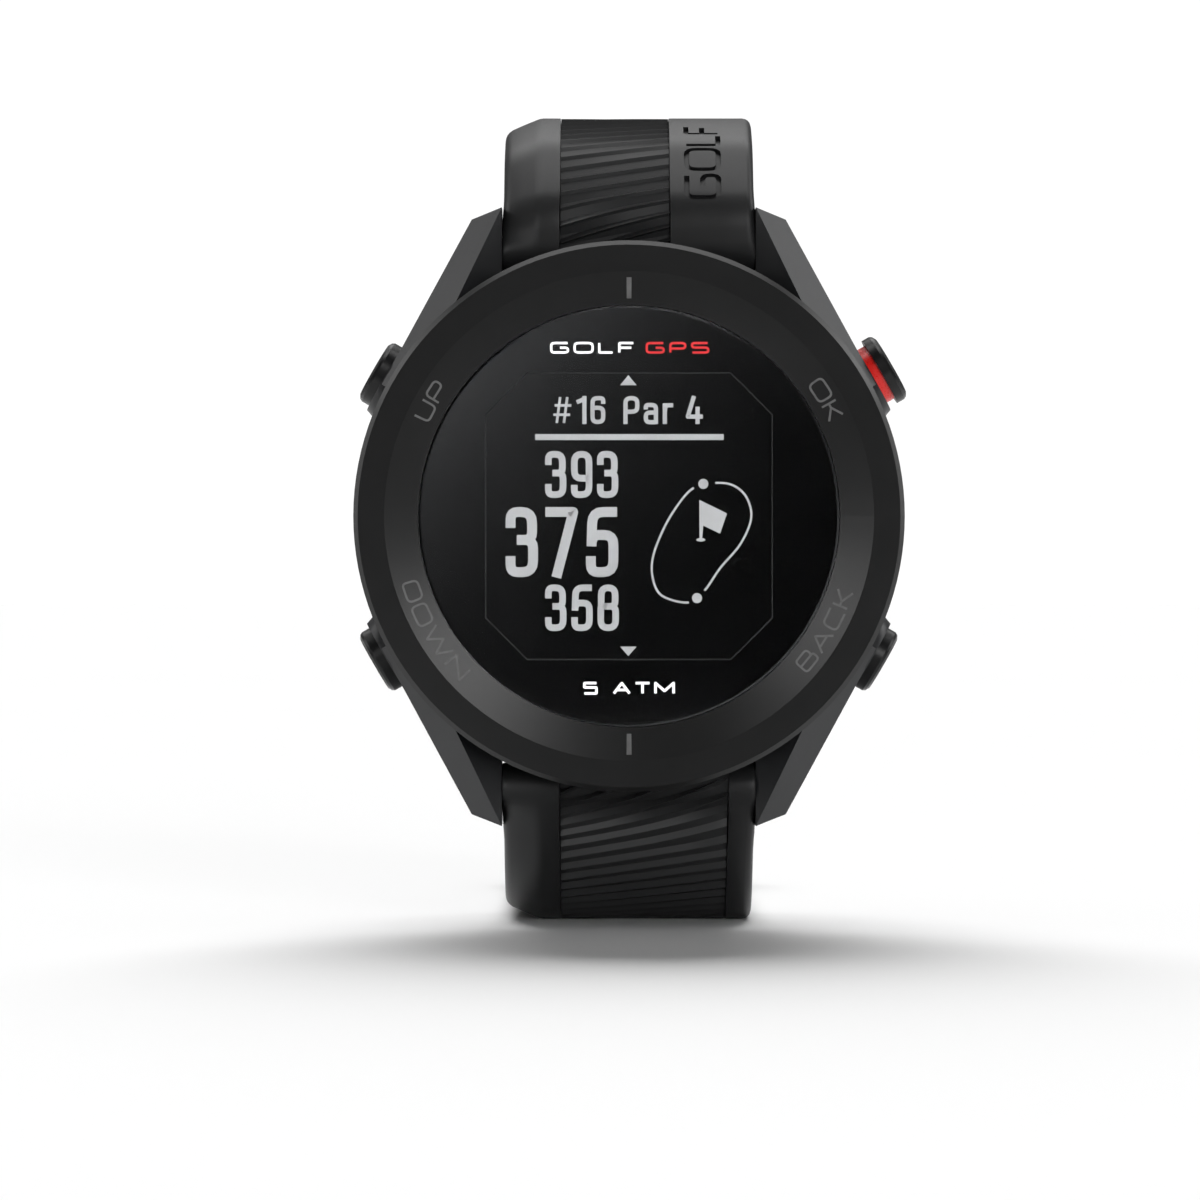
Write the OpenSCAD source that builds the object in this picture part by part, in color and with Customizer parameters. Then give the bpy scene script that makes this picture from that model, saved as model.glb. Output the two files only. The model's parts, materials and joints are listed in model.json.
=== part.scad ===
// Golf GPS watch: a round case with four side buttons, a flat display under glass
// and a two-piece quick-release silicone strap, standing open on its long strap.
// Millimetres. X is to the right (3 o'clock), -Y is the front (face side), Z is up (12 o'clock).

/* [Case] */
// radius of the bezel, the widest round part of the case
bezel_r = 21.85; // [20:0.05:24]
// depth from the bezel's front to the back cover
case_depth = 11.5; // [10:0.1:14]
// radius of the housing behind the bezel
housing_r = 21.6; // [19.5:0.05:23.5]
// depth of the bezel ring
bezel_depth = 2.6; // [2:0.1:4]
// radius of the cavity that holds the electronics
cavity_r = 17.6; // [16:0.1:19]
// radius of the flat front band's inner edge
band_inner_r = 19.4; // [18:0.1:20.5]

/* [Display] */
// radius of the cover glass
lens_r = 16.68; // [15:0.02:18]
// thickness of the cover glass
lens_thickness = 1.0; // [0.6:0.1:1.5]
// depth of the glass top below the bezel's front
lens_depth = 0.7; // [0.3:0.1:1.2]
// side of the square display window
window = 22.8; // [18:0.1:24]
// size of the cut across each window corner
window_corner = 3.25; // [0:0.05:6]

/* [Buttons] */
// depth of the button axes behind the bezel's front
button_depth = 6.4; // [5:0.1:7.5]
// radius of a plain button cap
cap_r = 2.68; // [2:0.02:3]
// distance of a plain cap's face from the case centre
cap_reach = 23.5; // [22.8:0.1:25]
// radius of the select button's wider cap
ok_cap_r = 2.86; // [2.5:0.02:3.2]
// distance of the select cap's face from the case centre
ok_cap_reach = 24.2; // [23.5:0.1:25.5]
// travel of the plain buttons
button_travel = 0.8; // [0.4:0.1:1]
// travel of the select button
ok_travel = 0.6; // [0.3:0.1:0.7]
// angle of the buttons above and below the 3 o'clock line
button_angle = 30; // [25:1:35]

/* [Strap] */
// width of the strap
strap_width = 20; // [18:1:22]
// thickness of the strap band
strap_thickness = 2.6; // [1.8:0.1:3.2]
// thickness of the strap where it joins the case
root_thickness = 4.4; // [3.6:0.1:5]
// distance of each spring bar from the case centre
bar_distance = 22; // [21:0.1:24]
// depth of the spring bars behind the bezel's front
bar_depth = 7.4; // [6.5:0.1:8.5]
// number of adjustment slots
slot_count = 13; // [8:1:16]
// distance between adjustment slots
slot_pitch = 5.4; // [4:0.1:8]
// width of an adjustment slot across the strap
slot_width = 6.4; // [3:0.1:8]
// height of an adjustment slot along the strap
slot_height = 2.0; // [1.5:0.1:3]

/* [Buckle] */
// width of the buckle frame
buckle_width = 24.8; // [23:0.1:28]
// distance from the buckle pin to the far side of the frame
buckle_reach = 12.2; // [10:0.1:15]
// thickness of the buckle frame
buckle_thickness = 2.2; // [1.5:0.1:3]

/* [Hidden] */
$fn = 96;
skin = 0.01;               // overshoot of a cutting tool
fit = 0.05;                // radial clearance of pins that turn or slide
lug_gap = strap_width / 2 + 0.14;
pocket_z = 19.45;          // flat of the housing between the lugs

lens_top = lens_depth;
lens_bottom = lens_depth + lens_thickness;
mask_back = lens_bottom + 0.1;
ledge = mask_back + 0.15;
film_r = lens_r - 0.06;
aperture_r = 15.95;
housing_back = 10.5;
cover_seat = 9.2;
cover_r = 18.55;
cover_screw_r = 15.4;
cover_screw_angles = [52, 128, 232, 308];
boss_r = 2.3;              // screw pillar
plate_top = 3.6;
plate_back = 4.4;
board_top = 4.5;
board_back = 5.1;

tip_r = 0.45;              // spring bar end pins
tube_r = 0.9;
tube_bore = 0.6;
tube_half = 9.2;
tip_end = 11.3;
release_travel = 1.3;
lever_x = -7.2;

boss_face = 22.4;          // flat of the collar round each button
counterbore_floor = 19.9;
flange_top = 20.2;
stem_r = 1.25;
switch_face = 15.45;       // end of a switch's plunger
touch = 0.05;              // what is left to the plunger when a button is fully pressed
clip_out = 17.5;
cap_skirt = 21.3;          // inner edge of a cap's skirt
spring_seat = 22.3;        // inner face of a cap, where its spring pushes
ok_ring_r = 2.42;
ok_skirt = boss_face + ok_travel + 0.15;

buckle_pin_r = 0.9;
end_r = 1.95;              // strap end round the buckle pin
arm_inner = 10.35;
keeper_wall = 1.2;
keeper_width = 4;

// outer surfaces of the two strap halves as [radius, turn] arcs or [0, length] straights
upper_start = [bar_depth - root_thickness / 2, bar_distance];
upper_run = [[0, 0.9], [5, 40], [30, 7], [9.5, 22], [50, 6], [12, 15], [90, 8], [18, 82], [0, 18]];
lower_heading = -52;
lower_start = [bar_depth + root_thickness / 2 * sin(lower_heading),
               -bar_distance - root_thickness / 2 * cos(lower_heading)];
lower_run = [[0, 3.3], [-18, 35], [-20, 5], [-8, 12], [0, 56], [-50, 28], [0, 13]];
first_slot = 18.2;         // distance of the first slot along the long half

function facing(a) = [cos(a), sin(a)];
function left_of(a) = [-sin(a), cos(a)];
// stations [point, heading, distance] along a run, arcs in steps of about 4 degrees
function walk(p, a, s, run, i = 0) = i == len(run) ? [[p, a, s]] :
    let (r = run[i][0], v = run[i][1])
    r == 0 ? concat([[p, a, s]], walk(p + v * facing(a), a, s + v, run, i + 1)) :
    let (c = p - r * left_of(a), n = ceil(v / 4), dir = r > 0 ? -1 : 1)
    concat([for (k = [0 : n - 1]) let (h = a + dir * v * k / n)
            [c + r * left_of(h), h, s + abs(r) * v * k / n * PI / 180]],
           walk(c + r * left_of(a + dir * v), a + dir * v, s + abs(r) * v * PI / 180, run, i + 1));
function depth_at(s) = strap_thickness
    + (root_thickness - strap_thickness) * pow(max(0, 1 - s / 7), 2);

upper = walk(upper_start, 90, 0, upper_run);
lower = walk(lower_start, lower_heading, 0, lower_run);
upper_end = upper[len(upper) - 1];
lower_end = lower[len(lower) - 1];
function along(path, s) = [lookup(s, [for (q = path) [q[2], q[0][0]]]),
                           lookup(s, [for (q = path) [q[2], q[0][1]]]),
                           lookup(s, [for (q = path) [q[2], q[1]]])];

buckle_at = [upper_end[0][0] - strap_thickness / 2, upper_end[0][1]];
keeper_fixed_z = buckle_at[1] + 6.6;
keeper_sliding_z = buckle_at[1] + 12.4;
lift = -min([for (q = lower) q[0][1]]);
tail_y = max([for (q = lower) q[0][0]]);

// ---- frames of reference ----
module place() translate([0, -tail_y / 2, lift]) children();
// a turned part: profile points are [radius, depth]
module turned() rotate([-90, 0, 0]) rotate_extrude() children();
// a flat part: drawn as seen from the front, from one depth to another
module slab(y0, y1) translate([0, y1, 0]) rotate([90, 0, 0]) linear_extrude(y1 - y0) children();
// a part on a button axis: local X points outward
module radial(a) rotate([0, -a, 0]) translate([0, button_depth, 0]) children();
module rod(x0, x1, r) translate([x0, 0, 0]) rotate([0, 90, 0]) cylinder(h = x1 - x0, r = r);
module pipe(x0, x1, r, bore) difference() {
    rod(x0, x1, r);
    rod(x0 - skin, x1 + skin, bore);
}
// a part on a spring bar: local origin on the bar's axis, local Y toward the strap's inner side
module on_bar(side) translate([0, bar_depth, side * bar_distance])
    rotate([side < 0 ? 90 + lower_heading : 0, 0, 0]) children();
// a profile in the YZ plane, extruded across the strap
module across(x0, x1) translate([x0, 0, 0]) rotate([90, 0, 90]) linear_extrude(x1 - x0) children();
module half_space(p, n) translate(p)
    rotate([0, acos(n.z / norm(n)), atan2(n.y, n.x)])
        translate([-60, -60, 0]) cube(120);

// ---- case ----
lug_tip = [10.14, 5, 24.7];
lug_root = [13.7, 2.5, 17.2];
lug_corner = [12.57, 23.8];
lug_side = [17.83, 13.94];
lug_foot = [19.67, 10.5];

module lug() difference() {
    slab(2.2, housing_back)
        polygon([[lug_gap, 9], [lug_gap, lug_tip.z], lug_corner, lug_side, lug_foot, [17, 9]]);
    half_space(lug_tip, [0.614, -0.613, 0.495]);
    half_space(lug_tip, [-0.67, -0.74, -0.07]);
    half_space([0, 9.3, lug_tip.z], [0, 0.8, 0.6]);
    slab(0, bezel_depth) circle(r = bezel_r + 0.02);
}

module button_collar(a) radial(a) {
    rod(18, boss_face - 0.6, 3.3);
    translate([boss_face - 0.6, 0, 0]) rotate([0, 90, 0]) cylinder(h = 0.6, r1 = 3.3, r2 = 3.08);
}

module button_bore(a, r) radial(a) {
    rod(16, 25, 1.95);
    rod(counterbore_floor, 25, r + 0.08);
}

module screw_pillars(y0, y1, r) for (a = cover_screw_angles)
    rotate([0, -a, 0]) translate([cover_screw_r, y0, 0]) rotate([-90, 0, 0]) cylinder(h = y1 - y0, r = r);

module housing() color("#2b2d30") difference() {
    union() {
        difference() {
            turned() polygon([[0, bezel_depth], [housing_r, bezel_depth], [housing_r, 8.6],
                              [20.6, housing_back], [0, housing_back]]);
            for (side = [-1, 1]) translate([-lug_gap, 0, side > 0 ? pocket_z : -30])
                cube([2 * lug_gap, 12, 30 - pocket_z]);
        }
        for (mx = [0, 1], mz = [0, 1]) mirror([mx, 0, 0]) mirror([0, 0, mz]) lug();
        for (a = [button_angle, 180 - button_angle, 180 + button_angle, -button_angle]) button_collar(a);
    }
    difference() {
        turned() polygon([[0, bezel_depth - 1], [aperture_r, bezel_depth - 1], [aperture_r, plate_top],
                          [cavity_r, plate_top], [cavity_r, cover_seat], [cover_r + 0.1, cover_seat],
                          [cover_r + 0.1, housing_back + 1], [0, housing_back + 1]]);
        screw_pillars(plate_top, cover_seat, boss_r);
    }
    turned() polygon([[17.95, 2], [18.95, 2], [18.95, 3.2], [17.95, 3.2]]);
    screw_pillars(5.4, cover_seat + 1, 0.78);
    for (a = [180 - button_angle, 180 + button_angle, -button_angle]) button_bore(a, cap_r);
    button_bore(button_angle, ok_ring_r);
    for (side = [-1, 1]) on_bar(side) rod(-tip_end - 0.25, tip_end + 0.25, tip_r + fit);
}

module bezel() color("#3a3d41") turned() polygon([
    [aperture_r, ledge], [lens_r + 0.07, ledge], [lens_r + 0.07, lens_top - 0.02],
    [band_inner_r, 0], [bezel_r - 0.36, 0], [bezel_r, 0.45], [bezel_r, bezel_depth - 0.2],
    [bezel_r - 0.2, bezel_depth], [18.9, bezel_depth], [18.9, 3.15], [18, 3.15],
    [18, bezel_depth], [aperture_r, bezel_depth]]);

module lens() color("#15181c", 0.35) turned() polygon([
    [0, lens_top], [lens_r - 0.12, lens_top], [lens_r, lens_top + 0.12],
    [lens_r, lens_bottom], [0, lens_bottom]]);

module lens_gasket() color("#101010") turned()
    polygon([[16, mask_back], [16.6, mask_back], [16.6, ledge], [16, ledge]]);

module octagon(size, cut) {
    h = size / 2;
    polygon([[h, -h + cut], [h, h - cut], [h - cut, h], [-h + cut, h],
             [-h, h - cut], [-h, -h + cut], [-h + cut, -h], [h - cut, -h]]);
}

module display_mask() color("#060606") slab(lens_bottom, mask_back) difference() {
    circle(r = film_r);
    octagon(window, window_corner);
}

module display_panel() color("#1c2420") slab(mask_back, 2.6) intersection() {
    square(24.4, center = true);
    circle(r = 15.5);
}

module backlight() color("#d8dcd6") slab(2.6, 3.1) intersection() {
    square(24, center = true);
    circle(r = 15.3);
}

module flex_slot() translate([-3.7, 0, -16.5]) cube([7.4, 8, 1.6]);

module mid_frame() color("#1a1b1d") difference() {
    union() {
        slab(3.1, plate_top) circle(r = 15.7);
        slab(plate_top, plate_back) circle(r = cavity_r - 0.1);
        for (side = [-1, 1]) translate([side * 13.6, plate_back, 0])
            rotate([-90, 0, 0]) cylinder(h = board_top - plate_back, r = 1.6);
    }
    screw_pillars(2, 6, boss_r + 0.15);
    flex_slot();
    for (side = [-1, 1]) translate([side * 13.6, 3.5, 0]) rotate([-90, 0, 0]) cylinder(h = 2, r = 0.5);
    slab(3, 3.5) octagon(19, 3);
}

module gps_antenna() color("#b08d4a") slab(plate_back, plate_back + 1.1) intersection() {
    difference() {
        circle(r = 17.3);
        circle(r = 16.6);
    }
    polygon([[0, 0], [9.2, 20], [-9.2, 20]]);
}

module main_board() color("#1f5a3a") difference() {
    slab(board_top, board_back) circle(r = 16.2);
    screw_pillars(4, 6, boss_r + 0.15);
    flex_slot();
    for (a = [button_angle, 180 - button_angle, 180 + button_angle, -button_angle])
        radial(a) translate([15.4, -4, -2]) cube([3, 4, 4]);
    for (side = [-1, 1]) translate([side * 13.6, 3.5, 0]) rotate([-90, 0, 0]) cylinder(h = 2, r = 0.55);
}

module shield_can() color("#b9bcc0") translate([-6, board_back, 9.8]) difference() {
    cube([12, 1.7, 4.6]);
    translate([0.25, -skin, 0.25]) cube([11.5, 1.5, 4.1]);
}

module board_chips() color("#222222") {
    for (side = [-1, 1], z = [9.3, 10.7])
        translate([side * 6.65 - 0.35, board_back, z]) cube([0.7, 0.7, 0.9]);
    translate([-4.6, board_back, 10.4]) cube([5, 1.1, 3.4]);
    translate([1.4, board_back, 10.8]) cube([3, 1, 2.6]);
    translate([-3, board_back + 0.15, -14.6]) cube([6, 0.85, 1.3]);
}

module tact_switches() color("#8d9094")
    for (a = [button_angle, 180 - button_angle, 180 + button_angle, -button_angle]) radial(a) {
        translate([12.9, board_back - button_depth, -2.5]) cube([2.2, 2.4, 5]);
        rod(15.1, switch_face, 0.7);
    }

module display_flex() color("#b5722c") across(-3.5, 3.5) polygon([
    [2.45, -12.2], [2.45, -15.25], [5.25, -15.25], [5.25, -13.4],
    [5.1, -13.4], [5.1, -15.1], [2.6, -15.1], [2.6, -12.2]]);

module board_screws() color("#9a9da1") for (side = [-1, 1]) translate([side * 13.6, 0, 0]) difference() {
    union() {
        turned() polygon([[0, 3.55], [0.48, 3.55], [0.48, board_back], [1, board_back],
                          [0.8, 5.7], [0, 5.7]]);
    }
    translate([-0.6, 5.4, -0.12]) cube([1.2, 1, 0.24]);
    translate([-0.12, 5.4, -0.6]) cube([0.24, 1, 1.2]);
}

module battery() color("#c4c7ca") difference() {
    translate([-9.2, 5.6, -9]) cube([18.4, 3.4, 18]);
    for (side = [-1, 1]) translate([side * 9.2 - 0.4, 5, -10]) rotate([0, 0, 45]) cube([0.57, 0.57, 20]);
}

module cover_profile() polygon([[0, cover_seat], [17.75, cover_seat], [17.75, 9.65], [18.35, 9.65],
    [18.35, cover_seat], [cover_r, cover_seat], [cover_r, housing_back], [18.05, 11.1], [17.3, case_depth],
    [0, case_depth]]);

module back_cover() color("#26282b") difference() {
    turned() cover_profile();
    screw_pillars(8, 13, 0.85);
    screw_pillars(10.2, 13, 1.6);
    translate([-5.1, 8, -13.9]) cube([10.2, 6, 3.8]);
    translate([-6.3, 10.7, -14.7]) cube([12.6, 2, 5.4]);
}

module back_gasket() color("#111111") turned()
    polygon([[17.8, cover_seat], [18.3, cover_seat], [18.3, 9.62], [17.8, 9.62]]);

module back_screws() color("#a7aaad") for (a = cover_screw_angles)
    rotate([0, -a, 0]) translate([cover_screw_r, 0, 0]) difference() {
        turned() polygon([[0, 5.9], [0.55, 5.9], [0.75, 6.2], [0.75, 10.2], [1.5, 10.2], [1.5, 10.9],
                          [1.3, 11.15], [0, 11.15]]);
        slab(10.7, 12) circle(r = 0.75, $fn = 6);
    }

module contact_block() color("#151515") difference() {
    translate([-5, 9, -13.8]) cube([10, 1.9, 3.6]);
    for (i = [-1.5 : 1.5]) translate([2.1 * i, 8, -12]) rotate([-90, 0, 0]) cylinder(h = 5, r = 0.5);
}

module charging_contacts() color("#c9a54e") for (i = [-1.5 : 1.5]) translate([2.1 * i, 0, -12]) turned()
    polygon([[0, board_back], [0.8, board_back], [0.8, 8.8], [0.5, 8.8], [0.5, 10.95],
             [0.4, 11.05], [0, 11.05]]);

// ---- buttons ----
module button_bushings() color("#8e9195")
    for (a = [button_angle, 180 - button_angle, 180 + button_angle, -button_angle]) radial(a) difference() {
        union() {
            rod(cavity_r, counterbore_floor, 1.95);
            rod(counterbore_floor, flange_top, 2.4);
        }
        rod(17, 21, stem_r + fit);
    }

module button(a, r, reach, skirt, hub, travel) radial(a) difference() {
    union() {
        rod(switch_face + travel + touch, reach - 0.5, stem_r);
        rod(hub, skirt + skin, 2);
        rotate([0, 90, 0]) rotate_extrude() polygon([[0, skirt], [r, skirt], [r, reach - 0.4],
            [r - 0.12, reach - 0.18], [r - 0.42, reach], [0, reach]]);
    }
    pipe(18.5, 18.95, 2, 0.85);
    pipe(clip_out - 0.32, clip_out + 0.02, 2, 0.8);
}

module plain_button(a) color("#55585c") difference() {
    button(a, cap_r, cap_reach, cap_skirt, cap_skirt, button_travel);
    radial(a) pipe(21, spring_seat, 2.2, stem_r);
}

module return_spring(a) color("#c0c3c6") radial(a) translate([flange_top, 0, 0]) rotate([0, 90, 0]) {
    length = spring_seat - flange_top;
    translate([0, 0, 0.12]) linear_extrude(length - 0.24, twist = -360 * 4, slices = 72, $fn = 6)
        translate([1.75, 0]) circle(r = 0.13);
    for (z = [0, length - 0.13]) translate([0, 0, z]) difference() {
        cylinder(h = 0.13, r = 1.87);
        translate([0, 0, -1]) cylinder(h = 3, r = 1.63);
    }
}

module seal(a) color("#141414") radial(a) translate([18.725, 0, 0]) rotate([0, 90, 0])
    rotate_extrude() translate([1.06, 0]) circle(r = 0.2, $fn = 24);

module clip(a) color("#9b9ea2") radial(a) difference() {
    pipe(clip_out - 0.3, clip_out, 1.75, 0.82);
    translate([17, -0.7, 0]) cube([1, 1.4, 2]);
}

module button_up() plain_button(180 - button_angle);
module spring_up() return_spring(180 - button_angle);
module seal_up() seal(180 - button_angle);
module clip_up() clip(180 - button_angle);
module button_down() plain_button(180 + button_angle);
module spring_down() return_spring(180 + button_angle);
module seal_down() seal(180 + button_angle);
module clip_down() clip(180 + button_angle);
module button_back() plain_button(-button_angle);
module spring_back() return_spring(-button_angle);
module seal_back() seal(-button_angle);
module clip_back() clip(-button_angle);
module button_ok() color("#5c5f63")
    button(button_angle, ok_cap_r, ok_cap_reach, ok_skirt, spring_seat, ok_travel);
module spring_ok() return_spring(button_angle);
module seal_ok() seal(button_angle);
module clip_ok() clip(button_angle);
module ok_ring() color("#b0202a") radial(button_angle) pipe(cap_skirt, ok_skirt, ok_ring_r, 2);

// ---- strap ----
module band(path, side) polygon(concat(
    [for (q = path) q[0]],
    [for (i = [len(path) - 1 : -1 : 0]) path[i][0] - side * depth_at(path[i][2]) * left_of(path[i][1])]));

module lever_notch() translate([-strap_width, 0.2, -1]) cube([strap_width + lever_x + 2.5, 5, 2]);

module strap_upper() color("#2a3040") difference() {
    union() {
        across(-strap_width / 2, strap_width / 2) band(upper, 1);
        on_bar(1) rod(-strap_width / 2, strap_width / 2, root_thickness / 2);
        at_buckle() rod(-strap_width / 2, strap_width / 2, end_r);
    }
    on_bar(1) rod(-12, 12, tube_r + 0.02);
    on_bar(1) lever_notch();
    translate([0, buckle_at[0], buckle_at[1]]) {
        rod(-12, 12, buckle_pin_r + fit);
        translate([-1.7, -4, -4]) cube([3.4, 8, 8.2]);
    }
}

module slot_shape() {
    square([slot_width - slot_height, slot_height], center = true);
    for (side = [-1, 1]) translate([side * (slot_width - slot_height) / 2, 0]) circle(r = slot_height / 2);
}

module strap_lower() color("#2a3040") difference() {
    union() {
        across(-strap_width / 2, strap_width / 2) band(lower, -1);
        on_bar(-1) rod(-strap_width / 2, strap_width / 2, root_thickness / 2);
    }
    on_bar(-1) rod(-12, 12, tube_r + 0.02);
    on_bar(-1) lever_notch();
    for (i = [0 : slot_count - 1]) let (q = along(lower, first_slot + slot_pitch * i))
        translate([0, q[0], q[1]]) rotate([q[2], 0, 0]) translate([0, 0, -2])
            linear_extrude(8) slot_shape();
    translate([0, lower_end[0][0], lower_end[0][1]]) rotate([lower_end[1], 0, 0])
        translate([0, 0, -3]) linear_extrude(8) difference() {
            translate([-strap_width, -8]) square([2 * strap_width, 20]);
            translate([0, -8]) scale([strap_width / 2, 7.9]) circle(r = 1);
        }
}

module bar_tube(side) on_bar(side) difference() {
    pipe(-tube_half, tube_half, tube_r, tube_bore);
    translate([lever_x - 0.45, 0, -0.42]) cube([release_travel + 0.9, 2, 0.84]);
}

module bar_pin(side) on_bar(side) {
    rod(-0.4, tube_half, tube_bore - 0.03);
    rod(tube_half, tip_end, tip_r);
}

module bar_lever(side) on_bar(side) {
    rod(-tube_half, -5, tube_bore - fit);
    rod(-tip_end, -tube_half, tip_r);
    translate([lever_x, 0, 0]) rotate([-90, 0, 0]) {
        cylinder(h = 1.6, r = 0.36);
        translate([0, 0, 1.6]) cylinder(h = 0.5, r = 0.6);
    }
}

module bar_spring(side) on_bar(side) translate([-5, 0, 0]) rotate([0, 90, 0])
    linear_extrude(4.6, twist = -360 * 8, slices = 96, $fn = 5) translate([0.42, 0]) circle(r = 0.11);

module bar_tube_upper() color("#a9acb0") bar_tube(1);
module bar_pin_upper() color("#b4b7bb") bar_pin(1);
module bar_lever_upper() color("#b4b7bb") bar_lever(1);
module bar_spring_upper() color("#b4b7bb") bar_spring(1);
module bar_tube_lower() color("#a9acb0") bar_tube(-1);
module bar_pin_lower() color("#b4b7bb") bar_pin(-1);
module bar_lever_lower() color("#b4b7bb") bar_lever(-1);
module bar_spring_lower() color("#b4b7bb") bar_spring(-1);

// ---- buckle and keepers ----
module at_buckle() translate([0, buckle_at[0], buckle_at[1]]) children();

module buckle_frame() color("#6d7074") at_buckle() difference() {
    union() {
        translate([0, buckle_thickness / 2, 0]) rotate([90, 0, 0]) linear_extrude(buckle_thickness)
            difference() {
                polygon([[buckle_width / 2, -buckle_reach + 2], [buckle_width / 2 - 2, -buckle_reach],
                         [-buckle_width / 2 + 2, -buckle_reach], [-buckle_width / 2, -buckle_reach + 2],
                         [-buckle_width / 2, 0], [buckle_width / 2, 0]]);
                translate([-arm_inner, -buckle_reach + 2.4]) square([2 * arm_inner, 20]);
            }
        for (side = [-1, 1]) translate([side * (arm_inner + buckle_width / 2) / 2, 0, 0])
            rod(arm_inner / 2 - buckle_width / 4, buckle_width / 4 - arm_inner / 2, 1.7);
    }
    rod(-13, 13, buckle_pin_r);
}

module buckle_pin() color("#8b8e92") at_buckle() {
    rod(-buckle_width / 2 + 0.2, buckle_width / 2 - 0.2, buckle_pin_r);
}

module buckle_tongue() color("#75787c") at_buckle() difference() {
    union() {
        rod(-1.3, 1.3, 1.65);
        translate([-1.1, 0, 0]) rotate([90, 0, 90]) linear_extrude(2.2)
            polygon([[0.2, 0], [1.62, 0], [2.35, -buckle_reach + 3], [2.35, -buckle_reach - 0.2],
                     [1.9, -buckle_reach - 0.6], [1.15, -buckle_reach - 0.6],
                     [1.15, -buckle_reach + 2.8], [0.2, -3]]);
    }
    rod(-3, 3, buckle_pin_r + fit);
}

module keeper(z, gap, side_gap) translate([0, buckle_at[0], z]) difference() {
    translate([-strap_width / 2 - side_gap - keeper_wall, -strap_thickness / 2 - gap - keeper_wall,
               -keeper_width / 2])
        cube([strap_width + 2 * side_gap + 2 * keeper_wall, 2 * strap_thickness + 0.5 + gap + 2 * keeper_wall,
              keeper_width]);
    translate([-strap_width / 2 - side_gap, -strap_thickness / 2 - gap, -keeper_width])
        cube([strap_width + 2 * side_gap, 2 * strap_thickness + 0.5 + gap, 2 * keeper_width]);
}

module keeper_fixed() color("#2a3040") keeper(keeper_fixed_z, 0, 0);
module keeper_sliding() color("#2a3040") keeper(keeper_sliding_z, 0.05, 0.1);

place() housing();
place() bezel();
place() lens();
place() lens_gasket();
place() display_mask();
place() display_panel();
place() backlight();
place() mid_frame();
place() gps_antenna();
place() main_board();
place() shield_can();
place() board_chips();
place() tact_switches();
place() display_flex();
place() board_screws();
place() battery();
place() back_cover();
place() back_gasket();
place() back_screws();
place() contact_block();
place() charging_contacts();
place() button_bushings();
place() button_up();
place() spring_up();
place() seal_up();
place() clip_up();
place() button_down();
place() spring_down();
place() seal_down();
place() clip_down();
place() button_ok();
place() spring_ok();
place() seal_ok();
place() clip_ok();
place() ok_ring();
place() button_back();
place() spring_back();
place() seal_back();
place() clip_back();
place() strap_upper();
place() bar_tube_upper();
place() bar_pin_upper();
place() bar_lever_upper();
place() bar_spring_upper();
place() strap_lower();
place() bar_tube_lower();
place() bar_pin_lower();
place() bar_lever_lower();
place() bar_spring_lower();
place() buckle_frame();
place() buckle_pin();
place() buckle_tongue();
place() keeper_fixed();
place() keeper_sliding();
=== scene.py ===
import json
import math

import bmesh
import bpy
import numpy as np
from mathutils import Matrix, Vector


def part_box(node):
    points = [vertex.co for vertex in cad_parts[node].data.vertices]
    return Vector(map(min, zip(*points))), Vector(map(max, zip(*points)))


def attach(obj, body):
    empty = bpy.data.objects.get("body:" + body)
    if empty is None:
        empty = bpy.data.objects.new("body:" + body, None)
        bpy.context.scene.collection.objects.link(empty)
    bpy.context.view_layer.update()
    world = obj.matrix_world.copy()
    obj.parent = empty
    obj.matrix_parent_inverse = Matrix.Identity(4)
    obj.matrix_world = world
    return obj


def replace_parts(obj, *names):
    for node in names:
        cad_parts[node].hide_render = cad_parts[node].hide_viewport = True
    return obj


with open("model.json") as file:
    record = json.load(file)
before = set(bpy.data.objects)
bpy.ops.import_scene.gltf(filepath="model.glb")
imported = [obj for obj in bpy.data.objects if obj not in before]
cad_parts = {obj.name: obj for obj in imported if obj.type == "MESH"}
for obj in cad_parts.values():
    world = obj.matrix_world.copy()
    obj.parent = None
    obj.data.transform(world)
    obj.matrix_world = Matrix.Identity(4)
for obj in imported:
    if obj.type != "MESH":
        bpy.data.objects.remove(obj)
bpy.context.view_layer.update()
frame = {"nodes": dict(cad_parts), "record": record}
scene = bpy.context.scene
scene.view_settings.view_transform = "Standard"

# ---------------------------------------------------------------- measures
# Lengths are in millimetres and angles in degrees, unless a name or a comment says otherwise.
MM = 0.001                                       # one millimetre in the scene's metres
bezel_low, bezel_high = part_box("bezel")
FRONT = bezel_low.y                              # the bezel's front plane
CENTRE_Z = (bezel_low.z + bezel_high.z) / 2      # height of the watch's centre


def at(x, y, z):
    """Watch millimetres (right, depth behind the bezel's front, up from the centre) to the row frame."""
    return Vector((x * MM, FRONT + y * MM, CENTRE_Z + z * MM))


# the strap, as in the CAD: arcs [radius, turn] or straights [0, length] along the outer surface,
# with distances along it counted from the knuckle's end of the upper half or the lower half
THICKNESS, ROOT_THICKNESS = 2.6, 4.4
ROOT_LENGTH = 7.0                                # how far the thicker root reaches
BAR_DEPTH, BAR_DISTANCE = 7.4, 22.0
BAR_HOLE_R, PIN_HOLE_R, HOLE_HALF = 0.92, 0.95, 12
PIN_END_R, END_SWELL = 1.95, 3.4                 # strap end round the buckle pin, and how long it swells
TONGUE_NOTCH = 1.7                               # half the gap in the strap end for the buckle's tongue
TIP_ROUND, TIP_REACH = 8, 7.9                    # the rounded tip: where it starts, and its half axis
KNUCKLE_BULGE, KNUCKLE_SPREAD = 0.32, 0.12       # how much the soft knuckle fills the room between the lugs
UPPER_RUN = [[0, 0.9], [5, 40], [30, 7], [9.5, 22], [50, 6], [12, 15], [90, 8], [18, 82], [0, 18]]
LOWER_RUN = [[0, 3.3], [-18, 35], [-20, 5], [-8, 12], [0, 56], [-50, 28], [0, 13]]
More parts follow.
